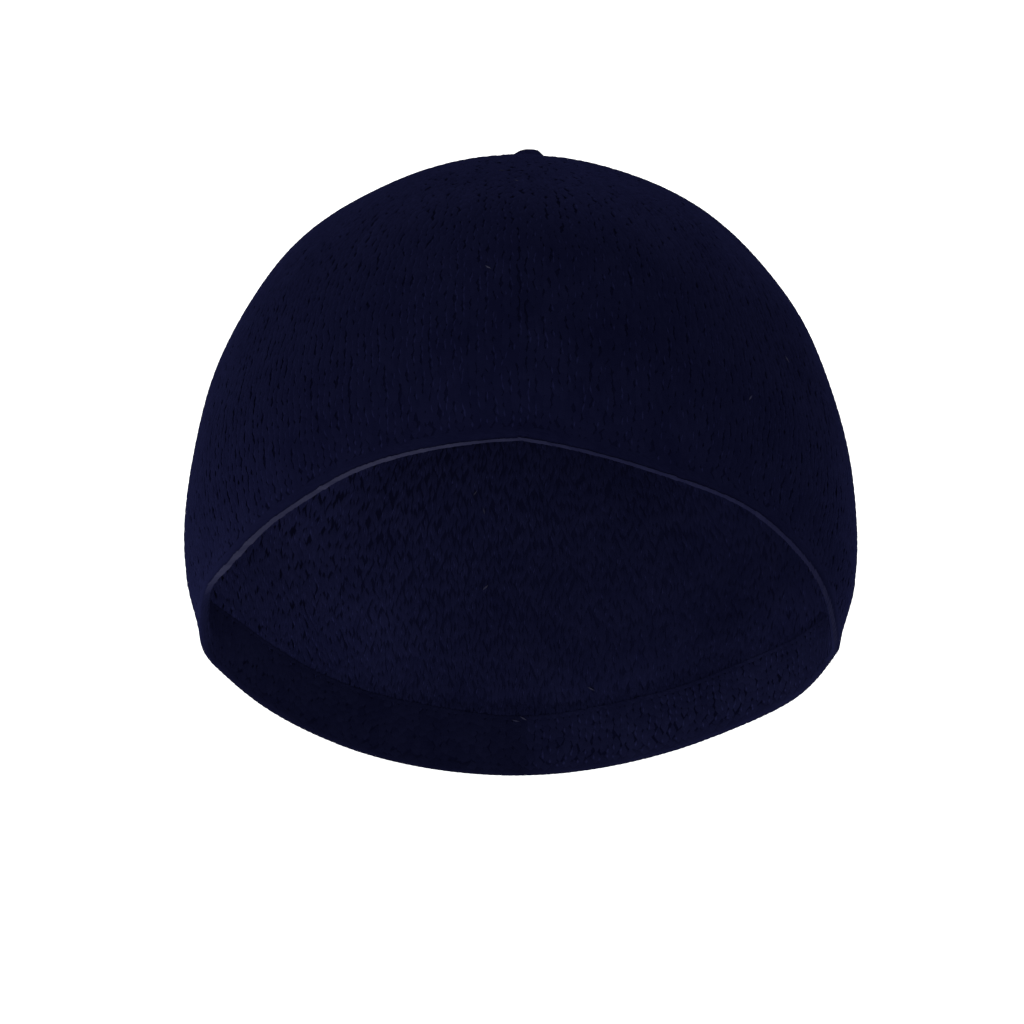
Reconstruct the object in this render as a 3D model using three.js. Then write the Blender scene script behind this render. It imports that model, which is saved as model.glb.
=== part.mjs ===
// Knitted skull cap lying on its back: opening toward -Y, crown tip toward +Y, +X to the right,
// floor at Z = 0. Millimetres. The origin is under the middle of the cap, on the floor.
import * as THREE from 'three';

// Outer form of the dome
const HALF_WIDTH = 92; // centre line to one side, at the fullest girth
const DEPTH = 150.8; // rim plane to crown tip
const TIP_HEIGHT = 58.2; // crown tip above the floor
const WIDEST_AT_RIM = 43.3; // height of the widest line above the floor, at the rim
const RIM_TOP = 141.7; // height of the front of the rim
const RIM_UNDER = -4.5; // where the back of the rim would hang without the floor
const RIM_BOW = 18.6; // how far the back of the rim reaches ahead of the rim plane
const CROWN_LEAN = 0.575; // slope of the crown end, its upper side leaning toward the rim
const UPPER_FULLNESS = 1.88; // section above the widest line: 2 is an ellipse, less is more peaked

// The doubled rim holds tighter than the single wall behind it.
const SNUG = { share: 0.066, frontShare: 0.04, reach: 17 };

// The single wall sags onto the floor behind the rim. The press is half the height of the round-over.
const SAG = { drop: 8.4, depth: 57, reach: 40 };
const FLOOR_PRESS = 4;

// How each meridian closes toward the tip: fullness keeps it wide, roundness blunts its end.
const MERIDIANS = {
  side: { fullness: 2.86, roundness: 1.88 },
  front: { fullness: 2.47, roundness: 1.69 },
  back: { fullness: 3.85, roundness: 1.45 },
};

// Soft forms left by folding and handling
const FRONT_RIDGE = 6.4; // flat-fold crease along the front centre
const FRONT_SWELL = { rise: 4, skew: 1.6, focus: 4 }; // roundness of the front between rim and tip
const RIM_LOP = { rise: 4.4, reach: 55 }; // the front of the rim stands fuller on the left
const DENTS = [
  { name: 'right flank', angle: 38, share: 0.5, angleReach: 13, shareReach: 0.16, sink: 1.8 },
  { name: 'right shoulder', angle: 24, share: 0.74, angleReach: 11, shareReach: 0.1, sink: 1.2 },
];

// Knitted plies
const PLY = 1.25; // thickness of one ply of the knit
const PLY_GAP = 0.3; // clearance between the wall and the turned-in hem
const FOLD_HEIGHT = 2.4; // rounded fold at the rim, two plies and the clearance thick
const HEM_HEIGHT = 20; // rim to the stitched edge of the hem, along the wall

// Gathered nub at the crown tip
const NUB = { radius: 4.2, height: 2.1, offset: 2.2 };

// Mesh density
const COLUMNS = 72;
const WALL_ROWS = 20;
const HEM_ROWS = 4;
const NUB_GIRTHS = [0.046, 0.03, 0.016]; // extra rows round the nub, as shares of the girth
const NORMAL_STEP = 1e-3;

const NAVY = 0x0e0f22;
const FOLD_THICKNESS = 2 * PLY + PLY_GAP;
const TIP_DIRECTION = new THREE.Vector3(0, 1, CROWN_LEAN).normalize();

function bell(distance, reach) {
  return Math.exp(-((distance / reach) ** 2));
}

function closing(share, { fullness, roundness }) {
  return Math.max(0, 1 - share ** fullness) ** (1 / roundness);
}

// Height of the wall once the floor holds it up: flat where it presses, rounded over at the edge.
function onFloor(height) {
  if (height <= -FLOOR_PRESS) return 0;
  if (height >= FLOOR_PRESS) return height;
  return (height + FLOOR_PRESS) ** 2 / (4 * FLOOR_PRESS);
}

// Sizes of the section at a share of the depth, 0 at the rim and 1 at the tip.
function sectionAt(share) {
  const depth = share * DEPTH;
  const hold = bell(depth, SNUG.reach);
  const girth = closing(share, MERIDIANS.side) * (1 - SNUG.share * hold);
  const front = closing(share, MERIDIANS.front) * (1 - SNUG.frontShare * hold);
  const back = closing(share, MERIDIANS.back);
  const sag = SAG.drop * bell(depth - SAG.depth, SAG.reach);
  return {
    depth,
    girth,
    halfWidth: HALF_WIDTH * girth,
    top: TIP_HEIGHT + (RIM_TOP - TIP_HEIGHT) * front,
    under: TIP_HEIGHT - (TIP_HEIGHT - RIM_UNDER) * back - sag,
    widest: WIDEST_AT_RIM + (TIP_HEIGHT - WIDEST_AT_RIM) * share ** 2,
  };
}

function dentSink(share, angle) {
  let sink = 0;
  for (const dent of DENTS) {
    const across = THREE.MathUtils.radToDeg(angle) - dent.angle;
    sink += dent.sink * bell(across, dent.angleReach) * bell(share - dent.share, dent.shareReach);
  }
  return sink;
}

// Point on the smooth outer face. The angle runs from +X (right) over the top (front of the cap).
function outerPoint(share, angle) {
  const section = sectionAt(share);
  const across = Math.cos(angle);
  const rise = Math.sin(angle);
  const upper = rise > 0;
  const swell = upper
    ? (Math.abs(across) ** UPPER_FULLNESS + rise ** UPPER_FULLNESS) ** (-1 / UPPER_FULLNESS)
    : 1;
  const reach = upper ? section.top - section.widest : section.widest - section.under;
  let height = section.widest + reach * rise * swell;
  if (upper) {
    height += FRONT_RIDGE * section.girth * (1 - Math.abs(across)) ** 2;
    height += FRONT_SWELL.rise * Math.sin(Math.PI * share ** FRONT_SWELL.skew) * rise ** FRONT_SWELL.focus;
    height -= RIM_LOP.rise * Math.sin(2 * angle) * bell(section.depth, RIM_LOP.reach);
  }
  height = onFloor(height);
  const bow = RIM_BOW * Math.min(rise, 0) ** 2 * (1 - share) ** 2;
  const lean = CROWN_LEAN * share ** 2 * (height - TIP_HEIGHT);
  const y = section.depth - bow - lean;
  return new THREE.Vector3(section.halfWidth * across * swell, y, height);
}

// Outward direction of the smooth outer face.
function outward(share, angle) {
  const ahead = outerPoint(Math.min(share + NORMAL_STEP, 1), angle);
  const behind = outerPoint(Math.max(share - NORMAL_STEP, 0), angle);
  const left = outerPoint(share, angle + NORMAL_STEP);
  const right = outerPoint(share, angle - NORMAL_STEP);
  const along = ahead.sub(behind);
  const around = left.sub(right);
  return along.cross(around).normalize();
}

// Point a given distance inside the outer face, dents included.
function wallPoint(share, angle, inset) {
  const point = outerPoint(share, angle);
  const direction = share < 1 ? outward(share, angle) : TIP_DIRECTION;
  return point.addScaledVector(direction, -inset - dentSink(share, angle));
}

// Share of the depth at a length along the wall from the rim, where the bow stretches the back.
function shareAtLength(length, angle) {
  const stretch = (2 * RIM_BOW * Math.min(Math.sin(angle), 0) ** 2) / DEPTH;
  return length / (DEPTH * (1 + stretch));
}

// Share of the depth at which the side meridian has narrowed to a share of its girth.
function shareAtGirth(girth) {
  const { fullness, roundness } = MERIDIANS.side;
  return (1 - girth ** roundness) ** (1 / fullness);
}

function ring(pointAt) {
  const points = [];
  for (let column = 0; column < COLUMNS; column += 1) {
    points.push(pointAt((2 * Math.PI * column) / COLUMNS));
  }
  return points;
}

// Ring of the wall at a length from the rim.
function ringAtLength(length, inset) {
  return ring((angle) => wallPoint(shareAtLength(length, angle), angle, inset));
}

// Ring of the wall at a share of the depth, raised into the nub near the tip on the outer face.
function ringAtShare(share, inset, nubbed) {
  return ring((angle) => {
    const point = wallPoint(share, angle, inset);
    return nubbed ? raiseNub(point) : point;
  });
}

function tipPoint(inset, nubbed) {
  const point = wallPoint(1, 0, inset);
  return nubbed ? raiseNub(point) : point;
}

// Lifts a point near the tip along the tip's direction, in a small round heap beside the centre.
function raiseNub(point) {
  const tip = outerPoint(1, 0);
  const away = Math.hypot(point.x - NUB.offset, point.z - tip.z);
  const heap = 1 - THREE.MathUtils.smoothstep(away, 0, NUB.radius);
  return point.addScaledVector(TIP_DIRECTION, NUB.height * heap);
}

// Rows of the single wall, from the end of the hem zone to the last row before the tip.
function wallShares() {
  const shares = [];
  const start = Math.asin(shareAtLength(HEM_HEIGHT, 0));
  for (let row = 1; row < WALL_ROWS; row += 1) {
    const swing = start + ((Math.PI / 2 - start) * row) / WALL_ROWS;
    shares.push(Math.sin(swing));
  }
  for (const girth of NUB_GIRTHS) {
    shares.push(shareAtGirth(girth));
  }
  return shares;
}

// Closed skin through rings of equal size. The ends close on a pole each, or the rings on themselves.
function skin(rings, poles) {
  const positions = [];
  const indices = [];
  for (const points of rings) {
    for (const point of points) {
      positions.push(point.x, point.y, point.z);
    }
  }
  const bands = poles ? rings.length - 1 : rings.length;
  for (let band = 0; band < bands; band += 1) {
    const here = band * COLUMNS;
    const next = ((band + 1) % rings.length) * COLUMNS;
    for (let column = 0; column < COLUMNS; column += 1) {
      const beside = (column + 1) % COLUMNS;
      indices.push(here + column, next + beside, next + column);
      indices.push(here + column, here + beside, next + beside);
    }
  }
  if (poles) {
    const first = positions.length / 3;
    const last = first + 1;
    const end = (rings.length - 1) * COLUMNS;
    positions.push(poles.first.x, poles.first.y, poles.first.z);
    positions.push(poles.last.x, poles.last.y, poles.last.z);
    for (let column = 0; column < COLUMNS; column += 1) {
      const beside = (column + 1) % COLUMNS;
      indices.push(first, beside, column);
      indices.push(last, end + column, end + beside);
    }
  }
  const geometry = new THREE.BufferGeometry();
  geometry.setAttribute('position', new THREE.Float32BufferAttribute(positions, 3));
  geometry.setIndex(indices);
  geometry.computeVertexNormals();
  return geometry;
}

function knitMaterial() {
  return new THREE.MeshStandardMaterial({ color: NAVY, roughness: 0.95, metalness: 0 });
}

// Dome wall: outer face from tip to rim, round the fold, and back up the inner face.
function crown() {
  const shares = wallShares();
  const rows = [];
  for (const share of shares.toReversed()) {
    rows.push(ringAtShare(share, 0, true));
  }
  rows.push(ringAtLength(HEM_HEIGHT, 0));
  rows.push(ringAtLength(HEM_HEIGHT / 2, 0));
  rows.push(ringAtLength(FOLD_HEIGHT, 0));
  rows.push(ringAtLength(FOLD_HEIGHT / 4, PLY / 4));
  rows.push(ringAtLength(0, FOLD_THICKNESS / 2));
  rows.push(ringAtLength(FOLD_HEIGHT / 4, FOLD_THICKNESS - PLY / 4));
  rows.push(ringAtLength(FOLD_HEIGHT, FOLD_THICKNESS));
  rows.push(ringAtLength(FOLD_HEIGHT, PLY));
  rows.push(ringAtLength(HEM_HEIGHT / 2, PLY));
  rows.push(ringAtLength(HEM_HEIGHT, PLY));
  for (const share of shares) {
    rows.push(ringAtShare(share, PLY, false));
  }
  const poles = { first: tipPoint(0, true), last: tipPoint(PLY, false) };
  return new THREE.Mesh(skin(rows, poles), knitMaterial());
}

// Turned-in ply: a band inside the wall, from just behind the fold to its stitched edge.
function hemBand() {
  const start = FOLD_HEIGHT + PLY_GAP;
  const faces = [PLY + PLY_GAP, FOLD_THICKNESS];
  const rows = [];
  for (let row = 0; row <= HEM_ROWS; row += 1) {
    rows.push(ringAtLength(THREE.MathUtils.lerp(start, HEM_HEIGHT, row / HEM_ROWS), faces[1]));
  }
  for (let row = HEM_ROWS; row >= 0; row -= 1) {
    rows.push(ringAtLength(THREE.MathUtils.lerp(start, HEM_HEIGHT, row / HEM_ROWS), faces[0]));
  }
  return new THREE.Mesh(skin(rows, null), knitMaterial());
}

const cap = new THREE.Group();
const pieces = { crown: crown(), hem_band: hemBand() };
for (const [name, piece] of Object.entries(pieces)) {
  piece.name = name;
  cap.add(piece);
}

// The rim plane is at Y = 0 up to here. The finished cap is centred over the origin.
const box = new THREE.Box3().setFromObject(cap);
cap.position.y = -(box.min.y + box.max.y) / 2;

export default cap;
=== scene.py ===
import math

import bpy
import numpy as np
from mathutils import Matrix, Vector


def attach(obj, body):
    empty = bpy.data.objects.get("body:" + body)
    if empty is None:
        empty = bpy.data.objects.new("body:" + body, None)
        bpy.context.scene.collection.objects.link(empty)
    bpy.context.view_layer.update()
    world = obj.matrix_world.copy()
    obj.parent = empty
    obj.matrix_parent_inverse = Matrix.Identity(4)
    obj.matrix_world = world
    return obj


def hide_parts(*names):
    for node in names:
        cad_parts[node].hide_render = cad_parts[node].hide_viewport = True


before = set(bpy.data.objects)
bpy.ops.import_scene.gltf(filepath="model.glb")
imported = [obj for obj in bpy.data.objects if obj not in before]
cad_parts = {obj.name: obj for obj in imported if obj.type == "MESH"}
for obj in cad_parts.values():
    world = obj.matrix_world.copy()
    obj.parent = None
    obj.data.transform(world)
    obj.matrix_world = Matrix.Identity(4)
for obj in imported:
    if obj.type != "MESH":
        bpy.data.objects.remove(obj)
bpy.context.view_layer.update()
mm = 0.001

# outer form of the dome in millimetres, the rim plane at y = 0:
# the solids' form, with a rim that wanders a little
domeForm = {
    "halfWidth": 92.0,
    "depth": 150.8,  # rim plane to crown tip
    "tipHeight": 58.2,
    "widestAtRim": 43.3,
    "rimTop": 141.7,
    "rimUnder": -4.5,
    "rimBow": 18.6,  # the back of the rim reaches ahead of the rim plane
    "bowReach": 0.4,  # share of the depth
    "crownLean": 0.575,
    "upperFullness": 1.88,
    "snugShare": 0.066,
    "snugFront": 0.04,
    "snugReach": 17.0,
    "straightHem": 18.0,  # the back of the rim runs straight this far before the wall widens
    "straightReach": 22.1,
    "straightFrom": (0.02, 0.37),  # how far below the sides that begins and is whole
    "sagDrop": 8.4,
    "sagDepth": 57.0,
    "sagReach": 40.0,
    "floorPress": 4.0,
    "sideCurve": (2.86, 1.88),  # fullness, roundness
    "frontCurve": (2.47, 1.69),
    "backCurve": (3.85, 1.45),
    "frontRidge": 6.4,
    "swellRise": 4.0,
    "swellSkew": 1.6,
    "swellFocus": 4.0,
    "lopRise": 4.4,
    "lopReach": 55.0,
    "centreShift": -67.537,  # moves the cap's box over the origin
    "driftReach": 30.0,  # how far from the rim its edge wanders to and fro
    "rimDrift": (  # angle, reach in degrees, millimetres back from the rim plane
        (150.0, 14.0, -3.0),
        (131.0, 9.0, -1.4),
        (166.0, 8.0, 1.6),
        (46.0, 15.0, 2.9),
        (9.0, 12.0, -5.6),
        (90.0, 50.0, 0.9),
        (238.0, 18.0, 0.8),
        (302.0, 20.0, 1.9),
        (334.0, 13.0, -1.3),
        (268.0, 22.0, -0.4),
    ),
    "cornerPinch": (  # angle, reach in degrees, millimetres in from the side
        (6.0, 11.0, 1.5),
        (190.0, 9.0, -1.0),
    ),
}

# soft forms that lie on the dome, in millimetres and degrees
softForm = {
    "dents": (  # angle, share, reach in degrees, reach in share, rise
        (38.0, 0.50, 13.0, 0.16, -1.8),
        (24.0, 0.74, 11.0, 0.10, -1.2),
        (120.0, 0.86, 22.0, 0.09, 1.1),
    ),
    "hemRise": 0.35,  # the doubled rim stands a little proud
    "hemBlend": 2.5,
    "gatherCount": 13,
    "gatherRise": 0.25,
    "gatherReach": 0.09,  # share of the girth
    "waveRise": 0.28,
    "waveEnd": 0.4,  # the waves die out where the girth is less
    "nubFlat": 1.0,
    "nubSlope": 2.9,
    "nubSpread": 0.48,  # the left flank of the nub falls more slowly
    "nubHeight": 2.1,
    "nubOffset": 3.7,
    "nubFrom": 0.9,  # share of the depth
    "bareTip": 7.0,  # round the nub the wall shows with no loops on it
}

plyForm = {
    "ply": 1.25,
    "plyGap": 0.3,
    "foldHeight": 2.4,
    "hemHeight": 18.8,
    "hemDrift": (  # angle, reach in degrees, millimetres added to the hem's height
        (270.0, 15.0, -1.8),
        (356.0, 24.0, -6.0),
        (190.0, 14.0, -2.0),
    ),
    "seamRise": 1.2,  # the wall comes up to meet the hem's edge
    "seamReach": 5.0,
    "stitchRoom": 0.4,  # the wall stands back by the stitches' height
}
foldThickness = 2 * plyForm["ply"] + plyForm["plyGap"]

# points that measure a line
samples = {"meridian": 400, "wales": 4001, "line": 3001, "fold": 721, "ring": 181}
nudge = 1e-3  # step that finds a direction on the dome
tiny = 1e-12


def bell(distance, reach):
    return np.exp(-(distance / reach) ** 2)


def smooth(value):
    value = np.clip(value, 0.0, 1.0)
    return value * value * (3 - 2 * value)


# 0 before the start, 1 after the end
def ramp(value, start, end):
    return smooth((value - start) / (end - start))


# degrees round the cap from a place, the short way
def turnFrom(angle, at):
    return (np.degrees(angle) - at + 180) % 360 - 180


def bellsRound(angle, rows):
    return sum(amount * bell(turnFrom(angle, at), reach) for at, reach, amount in rows)


def closing(share, curve):
    fullness, roundness = curve
    return np.maximum(0.0, 1.0 - share ** fullness) ** (1.0 / roundness)


def onFloor(height):
    press = domeForm["floorPress"]
    rounded = (height + press) ** 2 / (4 * press)
    return np.where(height <= -press, 0.0, np.where(height >= press, height, rounded))


def domePoint(share, angle):
    form = domeForm
    share, angle = np.broadcast_arrays(np.asarray(share, float), np.asarray(angle, float))
    depth = share * form["depth"]
    across, rise = np.cos(angle), np.sin(angle)
    hold = bell(depth, form["snugReach"])
    straight = bell(np.maximum(depth - form["straightHem"], 0.0), form["straightReach"])
    hold = hold + (straight - hold) * ramp(-rise, *form["straightFrom"])
    girth = closing(share, form["sideCurve"]) * (1 - form["snugShare"] * hold)
    front = closing(share, form["frontCurve"]) * (1 - form["snugFront"] * hold)
    back = closing(share, form["backCurve"])
    sag = form["sagDrop"] * bell(depth - form["sagDepth"], form["sagReach"])
    top = form["tipHeight"] + (form["rimTop"] - form["tipHeight"]) * front
    under = form["tipHeight"] - (form["tipHeight"] - form["rimUnder"]) * back - sag
    widest = form["widestAtRim"] + (form["tipHeight"] - form["widestAtRim"]) * share ** 2
    upper = rise > 0
    lifted = np.where(upper, rise, 0.0)
    power = form["upperFullness"]
    swell = np.where(upper, (np.abs(across) ** power + lifted ** power + tiny) ** (-1 / power), 1.0)
    height = widest + np.where(upper, top - widest, widest - under) * rise * swell
    ridge = form["frontRidge"] * girth * (1 - np.abs(across)) ** 2
    crown = form["swellRise"] * np.sin(math.pi * share ** form["swellSkew"]) * lifted ** form["swellFocus"]
    lop = form["lopRise"] * np.sin(2 * angle) * bell(depth, form["lopReach"])
    height = onFloor(height + np.where(upper, ridge + crown - lop, 0.0))
    bow = form["rimBow"] * np.minimum(rise, 0) ** 2 * (1 - share) ** 2
    lean = form["crownLean"] * share ** 2 * (height - form["tipHeight"])
    drift = bellsRound(angle, form["rimDrift"]) * bell(depth, form["driftReach"])
    pinch = bellsRound(angle, form["cornerPinch"]) * bell(depth, form["snugReach"])
    x = form["halfWidth"] * girth * across * swell - pinch * np.sign(across)
    y = depth - bow - lean + drift + form["centreShift"]
    return np.stack([x, y, height], -1)


def unit(vectors):
    return vectors / np.maximum(np.linalg.norm(vectors, axis=-1, keepdims=True), tiny)


def domeNormal(share, angle):
    share = np.clip(share, 0.0, 0.9995)  # the pole itself has no direction round it
    after, before = np.minimum(share + nudge, 0.99999), np.maximum(share - nudge, 0.0)
    along = domePoint(after, angle) - domePoint(before, angle)
    around = domePoint(share, angle + nudge) - domePoint(share, angle - nudge)
    return unit(np.cross(along, around))


# rise of the soft forms over the dome: dents, hem, gathers, and slow and quick waves that share no beat
def softRise(share, angle):
    form = softForm
    rise = np.zeros(np.broadcast(share, angle).shape)
    for place, at, reach, shareReach, amount in form["dents"]:
        rise += amount * bell(turnFrom(angle, place), reach) * bell(share - at, shareReach)
    pastHem = share * domeForm["depth"] - plyForm["hemHeight"]
    rise += form["hemRise"] * (1 - ramp(pastHem, -form["hemBlend"], form["hemBlend"]))
    girth = closing(np.minimum(share, 1.0), domeForm["sideCurve"])
    rise += form["gatherRise"] * bell(girth, form["gatherReach"]) * np.cos(form["gatherCount"] * angle)
    slow = np.sin(3 * angle + 9 * share + 0.4) * np.sin(14 * share + 1.1)
    quick = np.sin(7 * angle - 16 * share)
    return rise + form["waveRise"] * (slow + 0.6 * quick) * ramp(girth, 0, form["waveEnd"])


def wallPoint(share, angle, inset):
    share, angle, inset = np.broadcast_arrays(*(np.asarray(v, float) for v in (share, angle, inset)))
    out = domeNormal(share, angle)
    point = domePoint(share, angle) - out * (inset - softRise(share, angle))[..., None]
    tip = domePoint(1.0, 0.0)
    aside = point[..., 0] - softForm["nubOffset"]
    away = np.hypot(np.where(aside < 0, softForm["nubSpread"] * aside, aside), point[..., 2] - tip[2])
    heap = 1 - smooth((away - softForm["nubFlat"]) / softForm["nubSlope"])
    heap = heap * (share > softForm["nubFrom"]) * softForm["nubHeight"]
    lift = np.array([0.0, 1.0, domeForm["crownLean"]])
    return point + heap[..., None] * lift / np.linalg.norm(lift)


# the bow of the rim lengthens the wall at the back
def bowStretch(angle):
    return 2 * domeForm["rimBow"] * np.minimum(np.sin(angle), 0) ** 2 / domeForm["depth"]


# share of the depth at a length along the wall from the rim
def shareAtLength(length, angle):
    return length / (domeForm["depth"] * (1 + bowStretch(angle)))


def lengthsAlong(points):
    steps = np.linalg.norm(np.diff(points, axis=0), axis=-1)
    return np.concatenate([np.zeros((1, *steps.shape[1:])), np.cumsum(steps, axis=0)])


# even steps along the wall: course 0 is the rim, course 1 the tip
evenShare = np.sin(np.linspace(0, math.pi / 2, samples["meridian"]))
meridianAngles = np.radians([90, 30, 0, 180, 150, 230, 270, 310])
courseLengths = lengthsAlong(domePoint(evenShare[:, None], meridianAngles[None, :])).mean(axis=1)
wallLength = float(courseLengths[-1])
print("wall length rim to tip, mm:", round(wallLength, 1))


def courseShare(course, angle):
    plain = np.interp(course, courseLengths / wallLength, evenShare)
    stretch = bowStretch(angle)
    return plain * (1 - stretch / (1 + stretch) * bell(plain, domeForm["bowReach"]))


# the four faces of the knit, each from a step along its wale and an angle
def outerFace(course, angle):
    return wallPoint(courseShare(course, angle), angle, plyForm["stitchRoom"])


# the hem is a little narrower at the back crease and toward its ends
def hemEdge(angle):
    return plyForm["hemHeight"] + bellsRound(angle, plyForm["hemDrift"])


def innerFace(course, angle):
    past = np.maximum(course * wallLength - hemEdge(angle), 0.0)
    inset = plyForm["ply"] + plyForm["seamRise"] * bell(past, plyForm["seamReach"])
    return wallPoint(courseShare(course, angle), angle, inset)


# round the fold: turn 0 is the outside, half a turn the inside
def foldFace(turn, angle):
    length = plyForm["foldHeight"] * (1 - np.sin(turn))
    inset = plyForm["stitchRoom"] * np.maximum(np.cos(turn), 0) + foldThickness / 2 * (1 - np.cos(turn))
    return wallPoint(shareAtLength(length, angle), angle, inset)


# the turned-in ply, with its length counted on the full height
def hemFace(length, angle, inset=foldThickness):
    length = length * hemEdge(angle) / plyForm["hemHeight"]
    return wallPoint(shareAtLength(length, angle), angle, inset)


# place, facing and wale direction on a face, and millimetres for a radian round it;
# side is -1 where the cross product points into the knit
def faceFrame(face, along, angle, side, step):
    place = face(along, angle)
    wale = face(along + step, angle) - face(along - step, angle)
    around = face(along, angle + nudge) - face(along, angle - nudge)
    facing = unit(np.cross(wale, around)) * side
    return place, facing, unit(wale), np.linalg.norm(around, axis=-1) / (2 * nudge)


# a node with its settings, then its inputs as links or plain values
def addNode(tree, kind, inputs=None, **settings):
    node = tree.nodes.new(kind)
    for label, value in settings.items():
        setattr(node, label, value)
    for label, value in (inputs or {}).items():
        if isinstance(value, bpy.types.NodeSocket):
            tree.links.new(value, node.inputs[label])
        else:
            node.inputs[label].default_value = value
    return node


# shared finish: colour mottle, rubbed fibres, painted light and shade, a painted highlight and a height for
# the bump
finishForm = {
    "mottleDetail": 3.0, "mottleLow": 0.3, "mottleHigh": 0.7,
    "fibreDetail": 4.0, "fibreRoughness": 0.65, "fibreShare": 0.45,
    "shadeShare": 0.4, "toneLow": 0.2, "toneHigh": 1.1,
}


def knitFinishGroup():
    form = finishForm
    group = bpy.data.node_groups.new("knitFinish", "ShaderNodeTree")
    face = group.interface
    face.new_socket("Place", in_out="INPUT", socket_type="NodeSocketVector")
    for label in ("Yarn", "Rubbed", "Faded"):
        face.new_socket(label, in_out="INPUT", socket_type="NodeSocketColor")
    for label, value in (
        ("Shade", 0.5), ("Tone", 1.0), ("Rub", 0.0),
        ("Mottle Size", 90.0), ("Mottle Share", 0.5), ("Fibre Size", 2200.0),
    ):
        face.new_socket(label, in_out="INPUT", socket_type="NodeSocketFloat").default_value = value
    face.new_socket("Colour", in_out="OUTPUT", socket_type="NodeSocketColor")
    face.new_socket("Height", in_out="OUTPUT", socket_type="NodeSocketFloat")
    given = addNode(group, "NodeGroupInput").outputs
    mottle = addNode(group, "ShaderNodeTexNoise", {
        "Vector": given["Place"], "Scale": given["Mottle Size"], "Detail": form["mottleDetail"],
    })
    fibre = addNode(group, "ShaderNodeTexNoise", {
        "Vector": given["Place"], "Scale": given["Fibre Size"],
        "Detail": form["fibreDetail"], "Roughness": form["fibreRoughness"],
    })
    spread = addNode(group, "ShaderNodeMapRange", {  # widens the mottle to 0..1
        "Value": mottle.outputs["Fac"], "From Min": form["mottleLow"], "From Max": form["mottleHigh"],
    })
    share = addNode(group, "ShaderNodeMath", {
        0: spread.outputs["Result"], 1: given["Mottle Share"],
    }, operation="MULTIPLY")
    both = addNode(group, "ShaderNodeMath", {  # fibre adds to mottle
        0: fibre.outputs["Fac"], 1: form["fibreShare"], 2: share.outputs["Value"],
    }, operation="MULTIPLY_ADD")
    tone = addNode(group, "ShaderNodeMath", {  # each stitch has its own shade
        0: given["Shade"], 1: form["shadeShare"], 2: both.outputs["Value"],
    }, operation="MULTIPLY_ADD")
    level = addNode(group, "ShaderNodeMapRange", {
        "Value": tone.outputs["Value"], "From Min": form["toneLow"], "From Max": form["toneHigh"],
    })
    mix = addNode(group, "ShaderNodeMix", {
        "Factor": level.outputs["Result"], 6: given["Yarn"], 7: given["Rubbed"],
    }, data_type="RGBA")
    paintedShading = addNode(group, "ShaderNodeVectorMath", {  # painted light and shade: the colour made lighter or darker by place
        0: mix.outputs[2], "Scale": given["Tone"],
    }, operation="SCALE")
    highlighted = addNode(group, "ShaderNodeMix", {  # painted highlight: the crest of the rim is mixed toward a pale colour
        "Factor": given["Rub"], 6: paintedShading.outputs["Vector"], 7: given["Faded"],
    }, data_type="RGBA")
    addNode(group, "NodeGroupOutput", {"Colour": highlighted.outputs[2], "Height": fibre.outputs["Fac"]})
    return group


knitFinish = knitFinishGroup()


def knitMaterial(name, look):
    material = bpy.data.materials.new(name)
    material.use_nodes = True
    tree = material.node_tree
    values = {
        "Place": addNode(tree, "ShaderNodeTexCoord").outputs["Object"],
        "Yarn": (*look["yarn"], 1.0), "Rubbed": (*look["rubbed"], 1.0), "Faded": (*look["highlightColour"], 1.0),
        "Mottle Size": look["mottleSize"], "Mottle Share": look["mottleShare"],
        "Fibre Size": look["fibreSize"],
    }
    if look["shade"]:  # stitches carry a random shade, a painted highlight and painted light and shade of their own
        for label, stored in (("Shade", "yarnShade"), ("Rub", "paintedHighlight"), ("Tone", "tone")):
            values[label] = addNode(tree, "ShaderNodeAttribute", attribute_name=stored).outputs["Fac"]
    finish = addNode(tree, "ShaderNodeGroup", values, node_tree=knitFinish)
    bump = addNode(tree, "ShaderNodeBump", {
        "Strength": look["bump"], "Distance": look["bumpDepth"], "Height": finish.outputs["Height"],
    })
    shader = tree.nodes["Principled BSDF"]
    tree.links.new(finish.outputs["Colour"], shader.inputs["Base Color"])
    tree.links.new(bump.outputs["Normal"], shader.inputs["Normal"])
    for label, value in (
        ("Roughness", look["roughness"]), ("Specular IOR Level", look["gloss"]),
        ("Sheen Weight", look["sheen"]), ("Sheen Roughness", look["sheenRoughness"]),
        ("Sheen Tint", (*look["sheenTint"], 1.0)),
    ):
        shader.inputs[label].default_value = value
    material.diffuse_color = (*look["yarn"], 1.0)
    return material


yarnLook = {
    "yarn": (0.0026, 0.0029, 0.0122), "rubbed": (0.0041, 0.0046, 0.0172), "highlightColour": (0.021, 0.0215, 0.040),
    "mottleSize": 70.0, "mottleShare": 0.5, "fibreSize": 2600.0, "shade": True,
    "bump": 0.35, "bumpDepth": 0.0002, "roughness": 0.95, "gloss": 0.0,
    "sheen": 0.03, "sheenRoughness": 0.45, "sheenTint": (0.26, 0.29, 1.0),
}
# painted shade: the ground between the loops is darker than the yarn and has no sheen, standing in for the
# shade in the gaps
groundShadeLook = dict(
    yarnLook, yarn=(0.0017, 0.0019, 0.0082), rubbed=(0.0026, 0.0029, 0.0112), shade=False, sheen=0.0,
)
# painted light: the bare tip is paler than the yarn, standing in for the sheen of the loops round it
tipLook = dict(yarnLook, yarn=(0.0042, 0.0047, 0.0192), rubbed=(0.0065, 0.0072, 0.0268), shade=False)
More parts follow.
